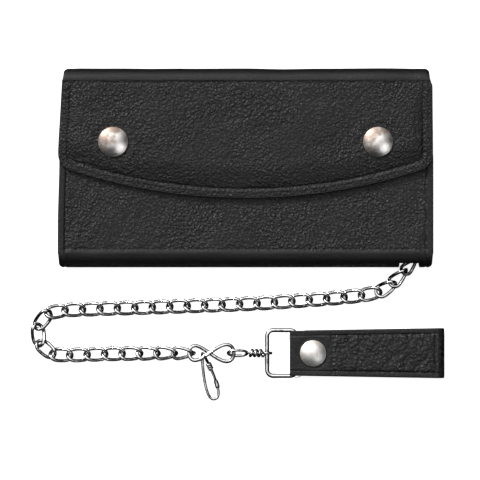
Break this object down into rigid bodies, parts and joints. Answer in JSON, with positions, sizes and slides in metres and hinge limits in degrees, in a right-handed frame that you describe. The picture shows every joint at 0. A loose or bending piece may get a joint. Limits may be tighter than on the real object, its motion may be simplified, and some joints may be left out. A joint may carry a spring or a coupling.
{
  "type": "chain wallet",
  "caption": "Long black leather wallet with a snap flap, a curb chain and a snap belt strap.",
  "frame": {"origin": "middle of the closed wallet's back face", "axes": "+X along the wallet's length, +Y towards the folded top edge, +Z out of the front with the snaps"},
  "size_m": [0.2108, 0.1686, 0.0226],
  "materials": {
    "outer_leather": "pebble grain, semi-matt",
    "lining_leather": "smooth, matt",
    "snap_nickel": "polished, lightly scuffed",
    "chain_steel": "chrome plated, polished"
  },
  "bodies": {
    "wallet": {"back_panel": "outer_leather", "bottom_fold": "outer_leather", "front_panel": "outer_leather", "gusset_left": "lining_leather", "gusset_right": "lining_leather", "card_pockets_left": "lining_leather", "card_pockets_right": "lining_leather", "bill_divider": "lining_leather", "snap_studs": "snap_nickel", "snap_rivets": "snap_nickel", "chain_anchor": "chain_steel"},
    "spine": {"top_spine": "outer_leather"},
    "flap": {"flap_leather": "outer_leather", "flap_lining": "lining_leather", "flap_snap_caps": "snap_nickel", "flap_snap_sockets": "snap_nickel"},
    "link_01": {"link_01": "chain_steel"},
    "link_02": {"link_02": "chain_steel"},
    "link_03": {"link_03": "chain_steel"},
    "link_04": {"link_04": "chain_steel"},
    "link_05": {"link_05": "chain_steel"},
    "link_06": {"link_06": "chain_steel"},
    "link_07": {"link_07": "chain_steel"},
    "link_08": {"link_08": "chain_steel"},
    "link_09": {"link_09": "chain_steel"},
    "link_10": {"link_10": "chain_steel"},
    "link_11": {"link_11": "chain_steel"},
    "link_12": {"link_12": "chain_steel"},
    "link_13": {"link_13": "chain_steel"},
    "link_14": {"link_14": "chain_steel"},
    "link_15": {"link_15": "chain_steel"},
    "link_16": {"link_16": "chain_steel"},
    "link_17": {"link_17": "chain_steel"},
    "link_18": {"link_18": "chain_steel"},
    "link_19": {"link_19": "chain_steel"},
    "link_20": {"link_20": "chain_steel"},
    "link_21": {"link_21": "chain_steel"},
    "link_22": {"link_22": "chain_steel"},
    "link_23": {"link_23": "chain_steel"},
    "link_24": {"link_24": "chain_steel"},
    "link_25": {"link_25": "chain_steel"},
    "link_26": {"link_26": "chain_steel"},
    "link_27": {"link_27": "chain_steel"},
    "link_28": {"link_28": "chain_steel"},
    "link_29": {"link_29": "chain_steel"},
    "link_30": {"link_30": "chain_steel"},
    "link_31": {"link_31": "chain_steel"},
    "link_32": {"link_32": "chain_steel"},
    "link_33": {"link_33": "chain_steel"},
    "figure_eight": {"figure_eight": "chain_steel"},
    "key_clip": {"key_clip": "chain_steel"},
    "swivel": {"swivel_eye": "chain_steel", "swivel_wrap": "chain_steel"},
    "belt_ring": {"belt_ring": "chain_steel"},
    "belt_strap": {"strap_back": "outer_leather", "strap_snap_stud": "snap_nickel", "strap_snap_rivet": "snap_nickel"},
    "strap_flap": {"strap_front": "outer_leather", "strap_snap_cap": "snap_nickel", "strap_snap_socket": "snap_nickel"}
  },
  "joints": [
    {"name": "flap_fold", "type": "hinge", "parent": "spine", "child": "flap", "pos_m": [0, 0.0444, 0.019], "axis": [-1, 0, 0], "range_deg": [0, 90]},
    {"name": "cover_spine_fold", "type": "hinge", "parent": "wallet", "child": "spine", "pos_m": [0, 0.0492, 0.0012], "axis": [-1, 0, 0], "range_deg": [0, 90]},
    {"name": "belt_ring_swing", "type": "hinge", "parent": "swivel", "child": "belt_ring", "pos_m": [0.01102, -0.09409, 0.0029], "axis": [0, -1, 0], "range_deg": [-30, 75]},
    {"name": "belt_strap_open", "type": "hinge", "parent": "belt_strap", "child": "strap_flap", "pos_m": [0.09736, -0.09409, 0.0076], "axis": [0, 1, 0], "range_deg": [0, 165]},
    {"name": "belt_strap_swing", "type": "hinge", "parent": "belt_ring", "child": "belt_strap", "pos_m": [0.02582, -0.09409, 0.0029], "axis": [0, -1, 0], "range_deg": [-30, 28]},
    {"name": "clip_swivel_swing", "type": "hinge", "parent": "figure_eight", "child": "swivel", "pos_m": [-0.00746, -0.09409, 0.0029], "axis": [0, -1, 0], "range_deg": [-6, 6]},
    {"name": "figure_eight_swing", "type": "hinge", "parent": "link_33", "child": "figure_eight", "pos_m": [-0.02744, -0.09409, 0.00305], "axis": [0, -1, 0], "range_deg": [-20, 20]},
    {"name": "key_clip_swing", "type": "hinge", "parent": "figure_eight", "child": "key_clip", "pos_m": [-0.02155, -0.09627, 0.0039], "axis": [-0.8654, -0.5001, -0.0318], "range_deg": [0, 100]},
    {"name": "link_01_swing", "type": "hinge", "parent": "wallet", "child": "link_01", "pos_m": [0.08655, -0.0465, 0.0069], "axis": [-1, 0, 0], "range_deg": [-10, 15]},
    {"name": "link_02_swing", "type": "hinge", "parent": "link_01", "child": "link_02", "pos_m": [0.08126, -0.05198, 0.00615], "axis": [-0.7193, 0.6947, 0], "range_deg": [-20, 28]},
    {"name": "link_03_swing", "type": "hinge", "parent": "link_02", "child": "link_03", "pos_m": [0.07529, -0.05836, 0.00439], "axis": [0.5299, -0.848, 0], "range_deg": [-18, 20]},
    {"name": "link_04_swing", "type": "hinge", "parent": "link_03", "child": "link_04", "pos_m": [0.06788, -0.06306, 0.00279], "axis": [-0.2079, 0.9781, 0], "range_deg": [-18, 12]},
    {"name": "link_05_swing", "type": "hinge", "parent": "link_04", "child": "link_05", "pos_m": [0.05913, -0.06478, 0.00232], "axis": [0.1045, -0.9945, 0], "range_deg": [-30, 30]},
    {"name": "link_06_swing", "type": "hinge", "parent": "link_05", "child": "link_06", "pos_m": [0.05027, -0.06566, 0.0023], "axis": [-0.0872, 0.9962, 0], "range_deg": [-30, 30]},
    {"name": "link_07_swing", "type": "hinge", "parent": "link_06", "child": "link_07", "pos_m": [0.04141, -0.06644, 0.0023], "axis": [0.0698, -0.9976, 0], "range_deg": [-30, 30]},
    {"name": "link_08_swing", "type": "hinge", "parent": "link_07", "child": "link_08", "pos_m": [0.03253, -0.06705, 0.0023], "axis": [-0.0698, 0.9976, 0], "range_deg": [-30, 30]},
    {"name": "link_09_swing", "type": "hinge", "parent": "link_08", "child": "link_09", "pos_m": [0.02365, -0.06767, 0.0023], "axis": [0.0698, -0.9976, 0], "range_deg": [-30, 30]},
    {"name": "link_10_swing", "type": "hinge", "parent": "link_09", "child": "link_10", "pos_m": [0.01477, -0.0683, 0.0023], "axis": [-0.0523, 0.9986, 0], "range_deg": [-30, 30]},
    {"name": "link_11_swing", "type": "hinge", "parent": "link_10", "child": "link_11", "pos_m": [0.00588, -0.06876, 0.0023], "axis": [0.0523, -0.9986, 0], "range_deg": [-30, 30]},
    {"name": "link_12_swing", "type": "hinge", "parent": "link_11", "child": "link_12", "pos_m": [-0.003, -0.06923, 0.0023], "axis": [-0.0349, 0.9994, 0], "range_deg": [-30, 30]},
    {"name": "link_13_swing", "type": "hinge", "parent": "link_12", "child": "link_13", "pos_m": [-0.0119, -0.06953, 0.0023], "axis": [0.0349, -0.9994, 0], "range_deg": [-30, 30]},
    {"name": "link_14_swing", "type": "hinge", "parent": "link_13", "child": "link_14", "pos_m": [-0.02079, -0.06984, 0.0023], "axis": [-0.0349, 0.9994, 0], "range_deg": [-30, 30]},
    {"name": "link_15_swing", "type": "hinge", "parent": "link_14", "child": "link_15", "pos_m": [-0.02969, -0.07015, 0.0023], "axis": [0.0349, -0.9994, 0], "range_deg": [-30, 30]},
    {"name": "link_16_swing", "type": "hinge", "parent": "link_15", "child": "link_16", "pos_m": [-0.03858, -0.07046, 0.0023], "axis": [-0.0349, 0.9994, 0], "range_deg": [-30, 30]},
    {"name": "link_17_swing", "type": "hinge", "parent": "link_16", "child": "link_17", "pos_m": [-0.04748, -0.07078, 0.0023], "axis": [0.0349, -0.9994, 0], "range_deg": [-30, 30]},
    {"name": "link_18_swing", "type": "hinge", "parent": "link_17", "child": "link_18", "pos_m": [-0.05637, -0.0711, 0.0023], "axis": [-0.0175, 0.9998, 0], "range_deg": [-30, 30]},
    {"name": "link_19_swing", "type": "hinge", "parent": "link_18", "child": "link_19", "pos_m": [-0.06527, -0.07123, 0.0023], "axis": [0.0349, -0.9994, 0], "range_deg": [-30, 30]},
    {"name": "link_20_swing", "type": "hinge", "parent": "link_19", "child": "link_20", "pos_m": [-0.07416, -0.07155, 0.0023], "axis": [-0.0349, 0.9994, 0], "range_deg": [-30, 30]},
    {"name": "link_21_swing", "type": "hinge", "parent": "link_20", "child": "link_21", "pos_m": [-0.08306, -0.07186, 0.0023], "axis": [0.0349, -0.9994, 0], "range_deg": [-30, 30]},
    {"name": "link_22_swing", "type": "hinge", "parent": "link_21", "child": "link_22", "pos_m": [-0.09196, -0.07209, 0.0023], "axis": [-0.1736, 0.9848, 0], "range_deg": [-30, 30]},
    {"name": "link_23_swing", "type": "hinge", "parent": "link_22", "child": "link_23", "pos_m": [-0.10086, -0.07333, 0.0023], "axis": [0.788, -0.6157, 0], "range_deg": [-10, 12]},
    {"name": "link_24_swing", "type": "hinge", "parent": "link_23", "child": "link_24", "pos_m": [-0.10645, -0.08045, 0.0023], "axis": [-0.9945, -0.1045, 0], "range_deg": [-10, 8]},
    {"name": "link_25_swing", "type": "hinge", "parent": "link_24", "child": "link_25", "pos_m": [-0.10551, -0.08947, 0.0023], "axis": [0.6428, 0.766, 0], "range_deg": [-8, 10]},
    {"name": "link_26_swing", "type": "hinge", "parent": "link_25", "child": "link_26", "pos_m": [-0.09854, -0.09524, 0.0023], "axis": [-0.0349, -0.9994, 0], "range_deg": [-15, 12]},
    {"name": "link_27_swing", "type": "hinge", "parent": "link_26", "child": "link_27", "pos_m": [-0.08957, -0.09522, 0.0023], "axis": [-0.0349, 0.9994, 0], "range_deg": [-30, 30]},
    {"name": "link_28_swing", "type": "hinge", "parent": "link_27", "child": "link_28", "pos_m": [-0.08067, -0.09487, 0.0023], "axis": [0.0349, -0.9994, 0], "range_deg": [-30, 30]},
    {"name": "link_29_swing", "type": "hinge", "parent": "link_28", "child": "link_29", "pos_m": [-0.07178, -0.09455, 0.0023], "axis": [-0.0175, 0.9998, 0], "range_deg": [-30, 30]},
    {"name": "link_30_swing", "type": "hinge", "parent": "link_29", "child": "link_30", "pos_m": [-0.06288, -0.09441, 0.00235], "axis": [0.0175, -0.9998, 0], "range_deg": [-30, 30]},
    {"name": "link_31_swing", "type": "hinge", "parent": "link_30", "child": "link_31", "pos_m": [-0.05398, -0.09425, 0.0025], "axis": [-0.0175, 0.9998, 0], "range_deg": [-30, 28]},
    {"name": "link_32_swing", "type": "hinge", "parent": "link_31", "child": "link_32", "pos_m": [-0.04509, -0.09409, 0.00275], "axis": [0, -1, 0], "range_deg": [-15, 30]},
    {"name": "link_33_swing", "type": "hinge", "parent": "link_32", "child": "link_33", "pos_m": [-0.03619, -0.09409, 0.00305], "axis": [0, 1, 0], "range_deg": [-30, 15]}
  ],
  "couplings": [
    {"joint": "cover_spine_fold", "follows": "flap_fold", "ratio": 1}
  ]
}
